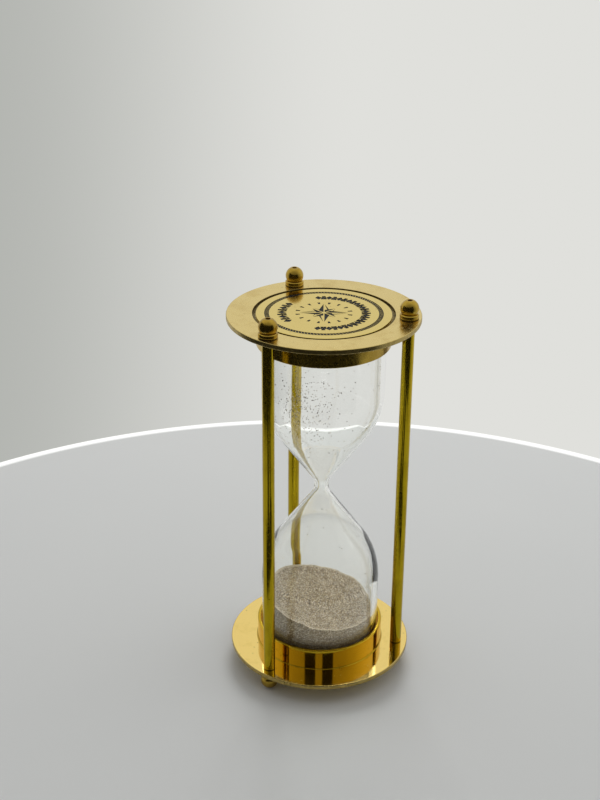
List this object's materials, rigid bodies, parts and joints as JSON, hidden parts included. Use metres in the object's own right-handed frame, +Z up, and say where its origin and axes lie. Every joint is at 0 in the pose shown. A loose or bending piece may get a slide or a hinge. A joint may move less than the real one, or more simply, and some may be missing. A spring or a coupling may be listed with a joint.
{
  "type": "hourglass",
  "caption": "Brass hourglass: round end plates joined by slim pillars with ball nuts around a blown two-bulb glass vessel of pale sand; it stands on the nuts either way up.",
  "frame": {"origin": "on the surface that the hourglass stands on, midway between the three foot nuts, on the axis of the vessel", "axes": "+Z up along the vessel; +Y from the axis towards the back pillar; +X to the right of that"},
  "size_m": [0.064, 0.064, 0.1393],
  "materials": {
    "satin_brass": "satin, fine turning marks, light tarnish",
    "brushed_brass": "brushed round, darker where handled",
    "engraved_brass": "satin with black-filled engraving",
    "polished_brass": "mirror polished and lacquered",
    "pillar_brass": "polished, aged to olive gold",
    "nut_brass": "turned and tumbled",
    "clear_glass": "clear blown glass",
    "sand": "fine pale sand with dark grains",
    "cork": "pressed cork"
  },
  "bodies": {
    "root": {"top_plate": "satin_brass", "top_collar": "brushed_brass", "top_medallion": "engraved_brass", "bottom_medallion": "engraved_brass", "bottom_plate": "polished_brass", "bottom_collar": "polished_brass", "top_pad": "cork", "bottom_pad": "cork", "fill_stopper": "cork", "glass_vessel": "clear_glass", "sand": "sand", "pillar_back": "pillar_brass", "top_nut_back": "nut_brass", "foot_nut_back": "nut_brass", "pillar_left": "pillar_brass", "top_nut_left": "nut_brass", "foot_nut_left": "nut_brass", "pillar_right": "pillar_brass", "top_nut_right": "nut_brass", "foot_nut_right": "nut_brass"}
  },
  "joints": []
}
